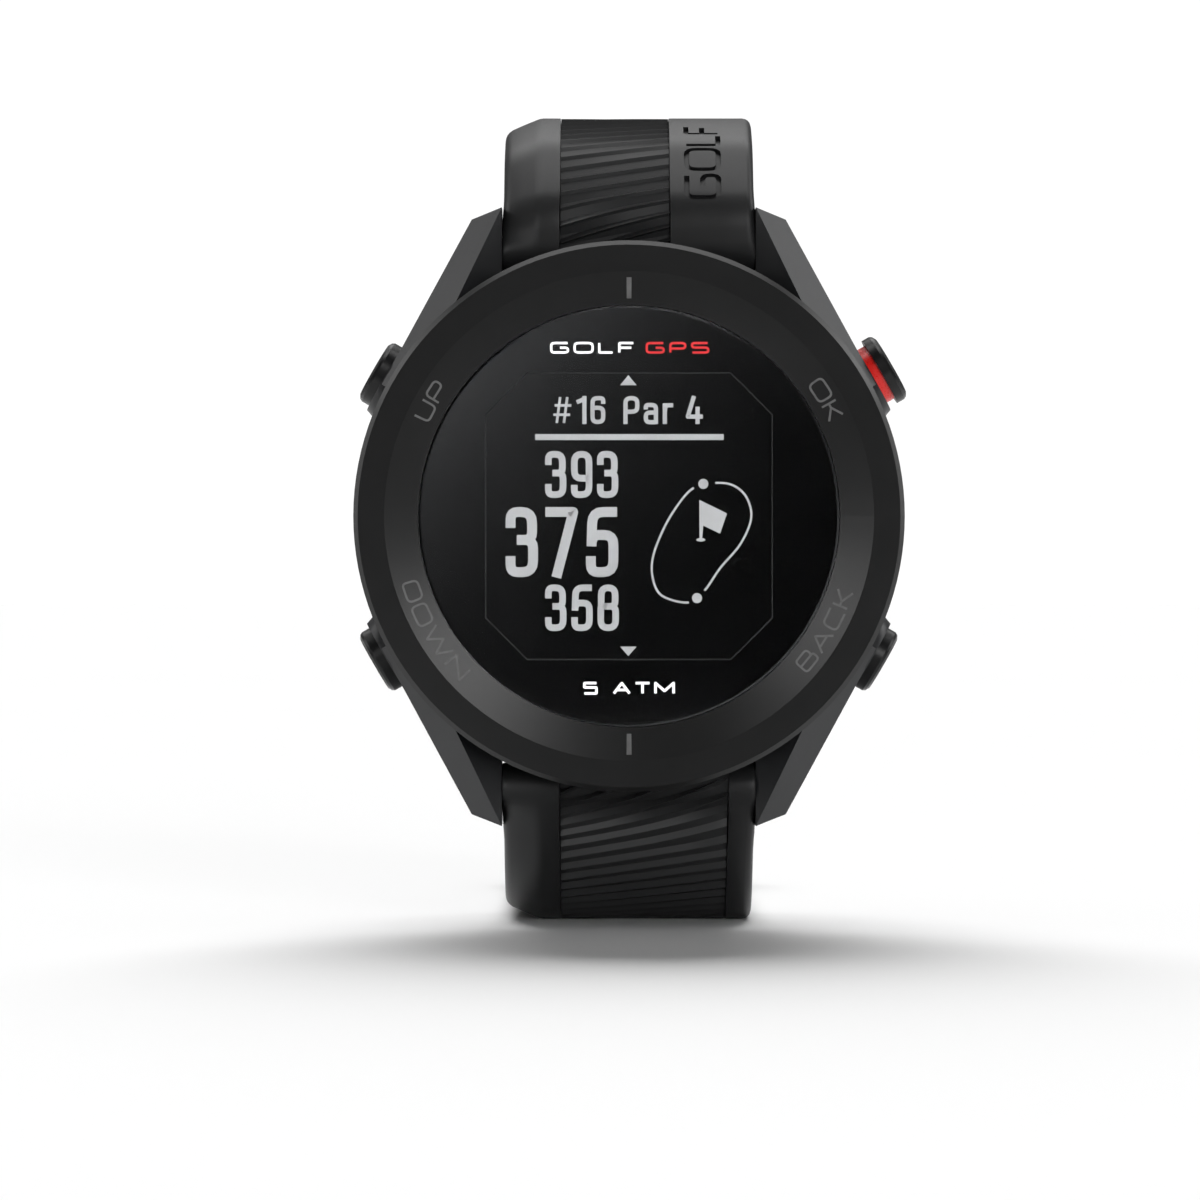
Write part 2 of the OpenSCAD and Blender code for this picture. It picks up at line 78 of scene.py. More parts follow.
LOWER_HEADING = -52.0
FIRST_SLOT, SLOT_PITCH, SLOT_COUNT = 18.2, 5.4, 13
SLOT_W, SLOT_H = 6.4, 2.0
LEVER_X, LEVER_ROOM = -7.2, 2.5
WORD_START, WORD_LENGTH, WORD_FOOT = 3.7, 11.0, 7.2    # the debossed word on the upper half
WORD_HEIGHT, WORD_LINE, WORD_GAP, WORD_DEPTH = 2.55, 0.42, 0.95, 0.34

# the ribbed panel: FAN values turn and shift the ribs where they come close to the case
RIB_PITCH, RIB_LEDGE, RIB_UNDER = 1.36, 0.42, 0.18
RIB_CREST, RIB_DEPTH, PANEL_DEPTH = 0.05, 0.36, 0.6
PANEL_LEFT, UPPER_PANEL_RIGHT, LOWER_PANEL_RIGHT = -5.5, 3.3, 7.9
PANEL_START, UPPER_PANEL_END, LOWER_PANEL_END = -3.2, 46.0, 16.9
UPPER_SLOPE, LOWER_SLOPE = 12, 13
FAN_START, FAN_LENGTH, FAN_SHIFT, FAN_TURN = 4.0, 5.0, 0.5, 0.16
RIB_CELL, RIB_GAP, RIB_FOOT = 0.3, 0.045, 0.25   # width of a cell, play at the panel's sides, sunk foot

# the display and its marks; faces are depths behind the bezel's front
WINDOW_FACE, MASK_FACE = 1.8, 1.7
INK_LIFT = 0.02                                  # how thick printed shapes are
CONE_OUT, CONE_IN, CONE_DROP = 19.4, 16.75, 0.68
MARK_R, MARK_SINK, MARK_LIFT = 18.15, -0.03, 0.012
WINDOW_HALF, WINDOW_CUT = 11.37, 0.29            # the octagonal window: half width, corner cut as its share
TITLE_LOW, TITLE_HIGH, PRINT_LINE, PRINT_GAP = 12.9, 13.84, 0.2, 0.5
DEPTH_LOW, DEPTH_HIGH = -14.17, -13.14           # the line of print under the window

# the camera, and the studio that goes with it
AIM_X, AIM_Z = -2.3, -6.65                       # where the camera looks, from the watch's centre
CAMERA_BACK, CAMERA_LENS, CAMERA_SENSOR = 600, 227.4, 36.0
MATT_WORLD, SEEN_WORLD = 0.05, 1.05              # the world for matt surfaces, and behind the object
SOFT_EDGE, SOFT_ANGLE, WELD_GAP = 0.12, 28, 0.002


# ---------------------------------------------------------------- node helpers
def new_material(name):
    """A new material with its nodes, its links and its main shader."""
    mat = bpy.data.materials.new(name)
    mat.use_nodes = True
    nodes = mat.node_tree.nodes
    return mat, nodes, mat.node_tree.links, nodes["Principled BSDF"]


def noise(nodes, links, size_mm, stretch=(1, 1, 1), detail=4.0):
    """Noise whose grains are about size_mm across, in the piece's own metres."""
    coords = nodes.new("ShaderNodeTexCoord")
    mapping = nodes.new("ShaderNodeMapping")
    mapping.inputs["Scale"].default_value = [1000 / size_mm / s for s in stretch]
    tex = nodes.new("ShaderNodeTexNoise")
    tex.inputs["Scale"].default_value = 1.0
    tex.inputs["Detail"].default_value = detail
    links.new(coords.outputs["Object"], mapping.inputs["Vector"])
    links.new(mapping.outputs["Vector"], tex.inputs["Vector"])
    return tex.outputs["Fac"]


def spread(nodes, links, factor, low, high):
    """The middle of a noise factor stretched over low to high."""
    node = nodes.new("ShaderNodeMapRange")
    node.inputs["From Min"].default_value = 0.3
    node.inputs["From Max"].default_value = 0.7
    node.inputs["To Min"].default_value = low
    node.inputs["To Max"].default_value = high
    links.new(factor, node.inputs["Value"])
    return node.outputs["Result"]


def surface(name, colour, rough, vary=0.15, rough_vary=0.05, patch_mm=4.0, grain_mm=0.12, bump_mm=0.004,
            stretch=(1, 1, 1), metal=0.0, specular=0.5):
    """A procedural finish: slow colour and roughness change, with a fine grain in the bump."""
    mat, nodes, links, shader = new_material(name)
    patch = noise(nodes, links, patch_mm, stretch)
    grain = noise(nodes, links, grain_mm, stretch, 2.0)
    mix = nodes.new("ShaderNodeMix")
    mix.data_type = "RGBA"
    mix.inputs["A"].default_value = (*[c * (1 - vary) for c in colour], 1)
    mix.inputs["B"].default_value = (*[min(1, c * (1 + vary)) for c in colour], 1)
    links.new(spread(nodes, links, patch, 0, 1), mix.inputs["Factor"])
    links.new(mix.outputs["Result"], shader.inputs["Base Color"])
    links.new(spread(nodes, links, grain, rough - rough_vary, rough + rough_vary), shader.inputs["Roughness"])
    bump = nodes.new("ShaderNodeBump")
    bump.inputs["Distance"].default_value = bump_mm * MM
    bump.inputs["Strength"].default_value = 0.6
    links.new(grain, bump.inputs["Height"])
    links.new(bump.outputs["Normal"], shader.inputs["Normal"])
    shader.inputs["Metallic"].default_value = metal
    shader.inputs["Specular IOR Level"].default_value = specular
    return mat


def ink(name, colour, glow):
    """Display ink: a speckled colour with its own light, because the pane above keeps studio light out."""
    mat, nodes, links, shader = new_material(name)
    speck = noise(nodes, links, 0.18)
    mix = nodes.new("ShaderNodeMix")
    mix.data_type = "RGBA"
    mix.inputs["A"].default_value = (*[c * 0.9 for c in colour], 1)
    mix.inputs["B"].default_value = (*colour, 1)
    links.new(speck, mix.inputs["Factor"])
    links.new(mix.outputs["Result"], shader.inputs["Base Color"])
    links.new(mix.outputs["Result"], shader.inputs["Emission Color"])
    shader.inputs["Emission Strength"].default_value = glow
    shader.inputs["Specular IOR Level"].default_value = 0.3
    shader.inputs["Roughness"].default_value = 0.6
    return mat


def glass(name):
    """The cover glass: clear, with a faint tint and smudged roughness."""
    mat, nodes, links, shader = new_material(name)
    shader.inputs["Transmission Weight"].default_value = 1.0
    shader.inputs["IOR"].default_value = 1.12     # an anti-reflective pane: the film behind it has the gloss
    smudge = noise(nodes, links, 9.0)
    links.new(spread(nodes, links, smudge, 0.004, 0.02), shader.inputs["Roughness"])
    tint = nodes.new("ShaderNodeMix")
    tint.data_type = "RGBA"
    tint.inputs["A"].default_value = (0.93, 0.94, 0.95, 1)
    tint.inputs["B"].default_value = (0.96, 0.97, 0.97, 1)
    links.new(smudge, tint.inputs["Factor"])
    links.new(tint.outputs["Result"], shader.inputs["Base Color"])
    return mat


MATERIALS = {
    "case_polymer": surface("case_polymer_look", (0.014, 0.0145, 0.016), 0.38, rough_vary=0.03, grain_mm=0.12,
                            bump_mm=0.001, specular=0.4),
    "bezel_polymer": surface("bezel_polymer_look", (0.008, 0.008, 0.0082), 0.3, rough_vary=0.02,
                             grain_mm=0.12, bump_mm=0.0006, specular=0.35),
    "cover_glass": glass("cover_glass_look"),
    "black_film": surface("black_film_look", (0.0012, 0.0012, 0.0012), 0.06, rough_vary=0.0, bump_mm=0.0,
                          specular=0.75),
    "display_glass": surface("display_glass_look", (0.002, 0.0021, 0.002), 0.06, rough_vary=0.0, bump_mm=0.0,
                             specular=0.75),
    "light_guide": surface("light_guide_look", (0.7, 0.72, 0.7), 0.3),
    "dark_polymer": surface("dark_polymer_look", (0.02, 0.02, 0.021), 0.5),
    "circuit_board": surface("circuit_board_look", (0.01, 0.12, 0.05), 0.35, patch_mm=0.8),
    "bright_metal": surface("bright_metal_look", (0.58, 0.59, 0.61), 0.28, stretch=(6, 1, 1), metal=1.0),
    "copper_flex": surface("copper_flex_look", (0.5, 0.2, 0.04), 0.35, patch_mm=1.0),
    "battery_foil": surface("battery_foil_look", (0.6, 0.61, 0.63), 0.33, metal=1.0, bump_mm=0.01),
    "seal_rubber": surface("seal_rubber_look", (0.012, 0.012, 0.012), 0.6),
    "gold_contact": surface("gold_contact_look", (0.78, 0.53, 0.2), 0.22, metal=1.0),
    "button_metal": surface("button_metal_look", (0.006, 0.006, 0.0065), 0.32, rough_vary=0.03, grain_mm=0.1,
                            bump_mm=0.0008, stretch=(1, 5, 1), specular=0.3),
    "red_accent": surface("red_accent_look", (0.86, 0.01, 0.005), 0.3, vary=0.08, patch_mm=1.5),
    "silicone": surface("silicone_look", (0.0125, 0.0127, 0.0133), 0.43, vary=0.1, rough_vary=0.03,
                        patch_mm=7.0, grain_mm=0.1, bump_mm=0.0015, specular=0.32),
    "buckle_metal": surface("buckle_metal_look", (0.16, 0.16, 0.165), 0.3, grain_mm=0.06, stretch=(8, 1, 1),
                            metal=1.0),
}
# the ribbed panel is the strap's own silicone with a lighter base colour: painted light, so that the ribs
# read brighter than the rest of the strap
RIB_PAINTED_LIGHT_LOOK = surface("ribbed_silicone_painted_light_look", (0.021, 0.0213, 0.022), 0.41, vary=0.1, rough_vary=0.03,
                   patch_mm=7.0, grain_mm=0.1, bump_mm=0.0015, specular=0.32)
# light grey for the words and index lines on the cone: a painted highlight, standing in for the light that
# the engraved strokes catch along their edges
MARK_PAINTED_HIGHLIGHT = surface("mark_painted_highlight_look", (0.13, 0.13, 0.13), 0.5, patch_mm=0.6, bump_mm=0.002)
WINDOW_LINE = ink("window_line_look", (0.0036, 0.0036, 0.0038), 1.0)
INK_GREY = ink("ink_grey_look", (0.385, 0.385, 0.388), 0.52)
INK_WHITE = ink("ink_white_look", (0.76, 0.76, 0.76), 0.95)
INK_RED = ink("ink_red_look", (0.5, 0.02, 0.022), 0.8)


# ---------------------------------------------------------------- mesh helpers
def finish_mesh(mesh, sharp=32):
    """Merges doubled points, turns the faces outward and shades smooth up to the sharp angle."""
    bm = bmesh.new()
    bm.from_mesh(mesh)
    bmesh.ops.remove_doubles(bm, verts=bm.verts, dist=0.0004 * MM)
    bmesh.ops.dissolve_degenerate(bm, edges=bm.edges, dist=0.0001 * MM)
    bmesh.ops.recalc_face_normals(bm, faces=bm.faces)
    bm.to_mesh(mesh)
    bm.free()
    mesh.polygons.foreach_set("use_smooth", [True] * len(mesh.polygons))
    mesh.set_sharp_from_angle(angle=math.radians(sharp))
    mesh.update()


def piece(name, points, faces, body, slot=None, material=None, sharp=32):
    """A mesh from points in watch millimetres, riding on a body."""
    mesh = bpy.data.meshes.new(name)
    mesh.from_pydata([at(*p) for p in points], [], faces)
    finish_mesh(mesh, sharp)
    obj = bpy.data.objects.new(name, mesh)
    scene.collection.objects.link(obj)
    mesh.materials.append(material or MATERIALS[slot])
    if body:
        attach(obj, body)
    return obj


def grid_faces(rows, cols, wrap_rows=False, wrap_cols=False, base=0):
    """Quads of a rows by cols grid of points stored row by row."""
    out = []
    for r in range(rows if wrap_rows else rows - 1):
        for c in range(cols if wrap_cols else cols - 1):
            a, b = base + r * cols, base + (r + 1) % rows * cols
            out.append((a + c, a + (c + 1) % cols, b + (c + 1) % cols, b + c))
    return out


def carve(obj, cutters):
    """Cuts closed meshes out of obj, for good."""
    for cutter in cutters:
        mod = obj.modifiers.new("cut", "BOOLEAN")
        mod.operation, mod.solver, mod.object = "DIFFERENCE", "MANIFOLD", cutter
    bpy.context.view_layer.update()
    baked = bpy.data.meshes.new_from_object(obj.evaluated_get(bpy.context.evaluated_depsgraph_get()))
    obj.modifiers.clear()
    obj.data = baked
    finish_mesh(baked)
    for cutter in cutters:
        bpy.data.objects.remove(cutter)


def prism(outline, low, high, place):
    """Closed prism over an outline of (u, v); place(u, v, w) gives watch millimetres."""
    n = len(outline)
    points = [place(u, v, low) for u, v in outline] + [place(u, v, high) for u, v in outline]
    faces = [tuple(range(n)), tuple(range(2 * n - 1, n - 1, -1))]
    faces += [(i, (i + 1) % n, n + (i + 1) % n, n + i) for i in range(n)]
    return points, faces


def join_lists(parts):
    """One list of points and one of faces from several."""
    points, faces = [], []
    for p, f in parts:
        faces += [tuple(i + len(points) for i in face) for face in f]
        points += p
    return points, faces


def arc(centre, radius, start, stop, steps):
    """Points on an arc, both ends included."""
    return [(centre[0] + radius * math.cos(math.radians(start + (stop - start) * i / steps)),
             centre[1] + radius * math.sin(math.radians(start + (stop - start) * i / steps)))
            for i in range(steps + 1)]


def smoothstep(t):
    t = min(1.0, max(0.0, t))
    return t * t * (3 - 2 * t)


# ---------------------------------------------------------------- strap path
class Strap:
    """The outer line of one strap half in the (depth, up) plane, from the knuckle round the spring bar."""

    def __init__(self, side, heading, run):
        self.side, self.run = side, run
        self.bar = np.array([BAR_DEPTH, side * BAR_DISTANCE])
        self.knuckle = ROOT_THICKNESS / 2
        self.start_heading = heading
        self.start = self.bar + side * self.knuckle * self.left(heading)
        self.length = sum(v if r == 0 else abs(r) * math.radians(v) for r, v in run)

    @staticmethod
    def facing(a):
        return np.array([math.cos(math.radians(a)), math.sin(math.radians(a))])

    @staticmethod
    def left(a):
        return np.array([-math.sin(math.radians(a)), math.cos(math.radians(a))])

    def outer(self, s):
        """(point, outward direction) at distance s; below zero it goes round the knuckle."""
        if s < 0:
            back = self.side * math.degrees(-s / self.knuckle)
            out = self.side * self.left(self.start_heading + back)
            return self.bar + (self.knuckle + KNUCKLE_BULGE * smoothstep(-s / 2.4)) * out, out
        p, a = self.start, self.start_heading
        for r, v in self.run:
            length = v if r == 0 else abs(r) * math.radians(v)
            d = min(s, length)
            if r == 0:
                p = p + d * self.facing(a)
            else:
                centre = p - r * self.left(a)
                a = a - math.copysign(math.degrees(d / abs(r)), r)
                p = centre + r * self.left(a)
            s -= d
            if s <= 1e-9:
                break
        return p, self.side * self.left(a)

    def depth(self, s):
        """Thickness at distance s."""
        return THICKNESS + (ROOT_THICKNESS - THICKNESS) * max(0, 1 - s / ROOT_LENGTH) ** 2

    def stations(self, step=0.9):
        """Distances along the outer line, closer together in tight arcs."""
        out, s = [0.0], 0.0
        for r, v in self.run:
            length = v if r == 0 else abs(r) * math.radians(v)
            n = max(1, math.ceil(length / (step if r == 0 else min(step, abs(r) * math.radians(3.5)))))
            out += [s + length * (k + 1) / n for k in range(n)]
            s += length
        return out

    def place(self, s, x, inward):
        """Watch millimetres of a point at distance s, across x and inward from the outer line."""
        p, out = self.outer(s)
        return (x, *(p - inward * out))


UPPER = Strap(1, 90.0, UPPER_RUN)
LOWER = Strap(-1, LOWER_HEADING, LOWER_RUN)

# how far the outer and the inner face lie below full thickness, across the strap from left to right
LEFT_EDGE = [(-10.0, 1.85, 0.62), (-9.96, 1.62, 0.36), (-9.86, 1.38, 0.17), (-9.68, 1.16, 0.05),
             (-9.4, 0.96, 0.0), (-8.6, 0.6, 0.0), (-7.6, 0.19, 0.0), (-7.2, 0.04, 0.0), (-6.9, 0.0, 0.0)]
RIGHT_EDGE = [(9.3, 0.0, 0.0), (9.55, 0.05, 0.0), (9.76, 0.17, 0.07), (9.91, 0.36, 0.2), (10.0, 0.66, 0.45)]


def columns(panel_right):
    """(x, outer drop, inner drop, in the panel) across the strap."""
    out = [(*c, False) for c in LEFT_EDGE]
    out += [(PANEL_LEFT - 0.12, 0, 0, False), (PANEL_LEFT, 0.02, 0, False),
            (PANEL_LEFT + 0.03, 0.02, 0, True)]
    n = round((panel_right - PANEL_LEFT) / 1.8)
    out += [(PANEL_LEFT + (panel_right - PANEL_LEFT) * i / n, 0, 0, True) for i in range(1, n)]
    out += [(panel_right - 0.03, 0.02, 0, True), (panel_right, 0.02, 0, False),
            (panel_right + 0.12, 0, 0, False)]
    if panel_right < 7:
        out += [(5.2, 0, 0, False), (7.4, 0, 0, False)]
    return out + [(*c, False) for c in RIGHT_EDGE]


def panel_floor(s, start, end):
    """Depth of the ribbed panel's floor, which ramps up at both ends."""
    if not start < s < end:
        return 0.0
    return PANEL_DEPTH * smoothstep(min((s - start) / 1.5, (end - s) / 2.6))


def strap_body(name, strap, panel_right, panel_start, panel_end, body, tip=False):
    """The closed band: outer face, rounded end, inner face and the knuckle round the spring bar."""
    stations = sorted(set(strap.stations() + [max(0.0, panel_start), panel_end]))
    knuckle = [-math.pi * strap.knuckle * (1 - i / 20) for i in range(1, 20)]
    cols = columns(panel_right)
    length = strap.length
    ring = []                                     # (distance, kind, turn about the end)
    ring += [(s, "knuckle", 0) for s in knuckle]
    ring += [(s, "outer", 0) for s in stations]
    if not tip:
        ring += [(length, "end", a) for a in range(12, 180, 12)]
    ring += [(s, "inner", 0) for s in reversed(stations)]
    tip_start = length - TIP_ROUND
    points = []
    for s, kind, turn in ring:
        t = strap.depth(max(0, s))
        swell = 0 if tip else (PIN_END_R - THICKNESS / 2) * smoothstep((s - length + END_SWELL) / END_SWELL)
        # the soft knuckle is a little wider between the lugs, and its bevelled edges fade out there
        spread_out = 1 + KNUCKLE_SPREAD / 10 * smoothstep((5.5 - s) / 4)
        fade = 1 - 0.85 * smoothstep((2.2 - s) / 3.5)
        for x, drop, inner_drop, in_panel in cols:
            x, drop = x * spread_out, drop * fade
            narrow = 1.0
            if tip and s > tip_start:
                narrow = math.sqrt(max(0.0, 1 - (min(s - tip_start, TIP_REACH * 0.995) / TIP_REACH) ** 2))
            if kind == "inner":
                limit = 0.8 if tip and s > tip_start else 1
                points.append(strap.place(s, x * narrow, t - inner_drop * limit + swell))
            elif kind == "end":
                a = math.radians(turn)
                p, out = strap.outer(length)
                ahead = strap.side * np.array([out[1], -out[0]])
                share = turn / 180
                r = PIN_END_R - drop * (1 - share) - inner_drop * share
                centre = p - THICKNESS / 2 * out
                points.append((x, *(centre + r * (math.cos(a) * out + math.sin(a) * ahead))))
            else:
                extra = panel_floor(s, panel_start, panel_end) if in_panel else 0
                points.append(strap.place(s, x * narrow, drop + extra - swell))
    faces = grid_faces(len(ring), len(cols), wrap_rows=True)
    n, last = len(cols), len(ring) - 1
    first, count = len(knuckle), len(stations)
    for c in (0, n - 1):                          # the two side faces
        faces.append(tuple(r * n + c for r in (*range(first + 1), last)))
        faces += [((first + k) * n + c, (first + k + 1) * n + c, (last - k - 1) * n + c, (last - k) * n + c)
                  for k in range(count - 1)]
        if not tip:
            faces.append(tuple(r * n + c for r in range(first + count - 1, last - count + 2)))
    return piece(name, points, faces, body, "silicone", sharp=40)


def ribs(name, strap, panel_right, start, end, slope, body):
    """The louvred panel: broad faces with a narrow ledge between them, on lines that rise to the right."""
    left, right = PANEL_LEFT + RIB_GAP, panel_right - RIB_GAP
    n = math.ceil((right - left) / RIB_CELL)
    xs = [left + (right - left) * i / n for i in range(n + 1)]
    sign = -strap.side
    table_s = np.linspace(start - 2, end + 2, 600)

    def phase(s, x):
        near = np.clip((FAN_START - s) / FAN_LENGTH, 0, 1)
        return s - FAN_SHIFT * near ** 2 + sign * x * (math.tan(math.radians(slope)) + FAN_TURN * near)

    tables = [phase(table_s, x) for x in xs]
    low = min(t[0] for t in tables)
    high = max(t[-1] for t in tables)
    rows = []
    i = math.floor(low / RIB_PITCH)
    while i * RIB_PITCH < high:
        p = i * RIB_PITCH
        if strap.side > 0:
            rows += [(p - RIB_UNDER, 0.7), (p, 0.0), (p + RIB_LEDGE, 1.0)]
        else:
            rows += [(p - RIB_LEDGE, 1.0), (p, 0.0), (p + RIB_UNDER, 0.7)]
        i += 1
    points = []
    for p, share in rows:
        for x, table in zip(xs, tables):
            s = float(np.interp(p, table, table_s))
            clamped = min(max(s, start), end)
            deep = RIB_DEPTH * (1 + 0.9 * smoothstep((2.2 - s) / 2.5))
            inward = RIB_CREST + (0.6 if clamped != s else share) * deep
            points.append(strap.place(clamped, x, inward))
    for p, share in rows:
        for x, table in zip(xs, tables):
            s = min(max(float(np.interp(p, table, table_s)), start), end)
            points.append(strap.place(s, x, PANEL_DEPTH + RIB_FOOT))
    count, cols = len(rows), len(xs)
    faces = grid_faces(count, cols)
    bottom = count * cols
    faces += [tuple(reversed(f)) for f in grid_faces(count, cols, base=bottom)]
    for r in range(count - 1):
        for c, flip in ((0, 1), (cols - 1, 0)):
            a = (r * cols + c, (r + 1) * cols + c, bottom + (r + 1) * cols + c, bottom + r * cols + c)
            faces.append(a if flip else tuple(reversed(a)))
    for c in range(cols - 1):
        for r, flip in ((0, 0), (count - 1, 1)):
            a = (r * cols + c, r * cols + c + 1, bottom + r * cols + c + 1, bottom + r * cols + c)
            faces.append(a if flip else tuple(reversed(a)))
    # the panel takes the lighter copy of the silicone: painted light
    return piece(name, points, faces, body, "silicone", RIB_PAINTED_LIGHT_LOOK, sharp=8)


# ---------------------------------------------------------------- lettering
def ribbon(path, width, closed=False):
    """Outline pieces (quads) of a line drawn with a set width, with mitred corners."""
    pts = [np.array(p, float) for p in path]
    n = len(pts)
    sides = []
    for i, p in enumerate(pts):
        before = p - pts[i - 1] if i or closed else pts[1] - pts[0]
        after = pts[(i + 1) % n] - p if i < n - 1 or closed else p - pts[i - 1]
        before, after = before / np.linalg.norm(before), after / np.linalg.norm(after)
        normal = np.array([-(before + after)[1], (before + after)[0]])
        length = np.linalg.norm(normal)
        normal = normal / length if length > 1e-6 else np.array([-after[1], after[0]])
        cos = max(0.35, float(normal @ np.array([-after[1], after[0]])))
        sides.append((p + normal * width / 2 / cos, p - normal * width / 2 / cos))
    return sides


def line_solid(path, width, low, high, place, closed=False):
    """A raised line along a path of (u, v)."""
    sides = ribbon(path, width, closed)
    points = []
    for a, b in sides:
        points += [place(*a, low), place(*b, low), place(*b, high), place(*a, high)]
    faces = grid_faces(len(sides), 4, wrap_rows=closed, wrap_cols=True)
    if not closed:
        last = 4 * (len(sides) - 1)
        faces += [(0, 1, 2, 3), (last + 3, last + 2, last + 1, last)]
    return points, faces


def rounded(path, radius, steps=4, closed=False):
    """The path with its corners rounded."""
    pts = [np.array(p, float) for p in path]
    out, n = [], len(pts)
    for i, p in enumerate(pts):
        if not closed and i in (0, n - 1):
            out.append(tuple(p))
            continue
        a, b = pts[i - 1] - p, pts[(i + 1) % n] - p
        la, lb = np.linalg.norm(a), np.linalg.norm(b)
        r = min(radius, la / 2.05, lb / 2.05)
        for k in range(steps + 1):
            t = k / steps
            out.append(tuple((1 - t) ** 2 * (p + a / la * r) + 2 * t * (1 - t) * p
                             + t * t * (p + b / lb * r)))
    return out


def spline(points, steps=6):
    """A closed smooth line through the points."""
    out, n = [], len(points)
    for i in range(n):
        p0, p1, p2, p3 = [np.array(points[(i + k - 1) % n], float) for k in range(4)]
        for k in range(steps):
            t = k / steps
            out.append(tuple(0.5 * (2 * p1 + (p2 - p0) * t + (2 * p0 - 5 * p1 + 4 * p2 - p3) * t * t
                                    + (3 * p1 - p0 - 3 * p2 + p3) * t ** 3)))
    return out


# single-line capitals one unit high: (width, corner radius, strokes)
CAPITALS = {
    "U": (1.1, 0.3, [[(0, 1), (0, 0), (1.1, 0), (1.1, 1)]]),
    "P": (1.1, 0.28, [[(0, 0), (0, 1), (1.1, 1), (1.1, 0.42), (0.02, 0.42)]]),
    "O": (1.35, 0.34, [[(0.68, 0), (0, 0), (0, 1), (0.68, 1)], [(0.67, 1), (1.35, 1), (1.35, 0), (0.67, 0)]]),
    "K": (1.05, 0.02, [[(0, 0), (0, 1)], [(1.0, 1), (0.3, 0.5), (1.05, 0)], [(0.02, 0.5), (0.3, 0.5)]]),
    "D": (1.25, 0.34, [[(0.5, 0), (0, 0.0), (0, 1), (1.25, 1), (1.25, 0), (0.48, 0)]]),
    "W": (2.1, 0.05, [[(0, 1), (0.52, 0), (1.05, 0.95), (1.58, 0), (2.1, 1)]]),
    "N": (1.35, 0.05, [[(0, 0), (0, 1), (1.35, 0), (1.35, 1)]]),
    "B": (1.2, 0.24, [[(0.5, 0), (0, 0), (0, 1), (1.1, 1), (1.1, 0.52), (0.02, 0.52)],
                      [(0.9, 0.52), (1.2, 0.52), (1.2, 0), (0.48, 0)]]),
    "A": (1.3, 0.05, [[(0, 0), (0.65, 1), (1.3, 0)], [(0.23, 0.34), (1.07, 0.34)]]),
    "C": (1.2, 0.34, [[(1.2, 1), (0, 1), (0, 0), (1.2, 0)]]),
    "G": (1.25, 0.28, [[(1.22, 1), (0, 1), (0, 0), (1.25, 0), (1.25, 0.5), (0.66, 0.5)]]),
    "L": (1.0, 0.1, [[(0, 1), (0, 0), (1.0, 0)]]),
    "F": (1.0, 0.1, [[(0, 0), (0, 1), (1.05, 1)], [(0.02, 0.5), (0.9, 0.5)]]),
    "S": (1.2, 0.24, [[(1.15, 1), (0, 1), (0, 0.52), (1.2, 0.52), (1.2, 0), (0.03, 0)]]),
    "T": (1.15, 0.02, [[(0, 1), (1.15, 1)], [(0.575, 0.98), (0.575, 0)]]),
    "M": (1.5, 0.02, [[(0, 0), (0, 1), (0.75, 0.25), (1.5, 1), (1.5, 0)]]),
    "5": (1.0, 0.08, [[(1.0, 1), (0, 1), (0, 0.58), (1.0, 0.58), (1.0, 0), (0, 0)]]),
    " ": (0.45, 0, []),
}
# narrow figures in units of their height, drawn along the middle of a line 0.15 wide
FIGURES = {
    "1": (0.32, 0.01, [[(0.245, 0), (0.245, 1)], [(0.0, 0.775), (0.24, 0.89)]]),
    "3": (0.49, 0.16, [[(0.075, 0.7), (0.075, 0.925), (0.4, 0.925), (0.4, 0.53), (0.17, 0.53)],
                       [(0.17, 0.53), (0.415, 0.53), (0.415, 0.075), (0.075, 0.075), (0.075, 0.3)]]),
    "4": (0.52, 0.01, [[(0.27, 1.0), (0.09, 0.265), (0.52, 0.265)], [(0.37, 0), (0.37, 0.62)]]),
    "5": (0.49, 0.16, [[(0.47, 0.925), (0.1, 0.925), (0.085, 0.44)],
                       [(0.085, 0.5), (0.13, 0.6), (0.415, 0.6), (0.415, 0.075), (0.075, 0.075),
                        (0.075, 0.3)]]),
    "6": (0.49, 0.165, [[(0.415, 0.72), (0.415, 0.925), (0.075, 0.925), (0.075, 0.075), (0.415, 0.075),
                         (0.415, 0.58), (0.08, 0.58)]]),
    "7": (0.5, 0.01, [[(0.0, 0.925), (0.42, 0.925), (0.165, 0)]]),
    "8": (0.49, 0.16, [[(0.17, 0.53), (0.085, 0.53), (0.085, 0.925), (0.405, 0.925), (0.405, 0.53),
                        (0.17, 0.53)],
                       [(0.17, 0.53), (0.075, 0.53), (0.075, 0.075), (0.415, 0.075), (0.415, 0.53),
                        (0.17, 0.53)]]),
    "9": (0.49, 0.165, [[(0.075, 0.28), (0.075, 0.075), (0.415, 0.075), (0.415, 0.925), (0.075, 0.925),
                         (0.075, 0.42), (0.41, 0.42)]]),
    "#": (0.58, 0.01, [[(0.11, 0), (0.22, 1)], [(0.34, 0), (0.45, 1)], [(0.0, 0.32), (0.54, 0.32)],
                       [(0.04, 0.68), (0.58, 0.68)]]),
    "P": (0.5, 0.18, [[(0.075, 0), (0.075, 0.925), (0.425, 0.925), (0.425, 0.44), (0.08, 0.44)]]),
    "a": (0.45, 0.13, [[(0.07, 0.52), (0.07, 0.68), (0.37, 0.68), (0.37, 0.0)],
                       [(0.37, 0.41), (0.07, 0.41), (0.07, 0.065), (0.365, 0.065)]]),
    "r": (0.32, 0.12, [[(0.075, 0), (0.075, 0.74)], [(0.08, 0.45), (0.09, 0.67), (0.32, 0.67)]]),
    " ": (0.2, 0, []),
}
CAP_HEIGHT, LETTER_GAP, MARK_LINE = 1.22, 0.42, 0.17


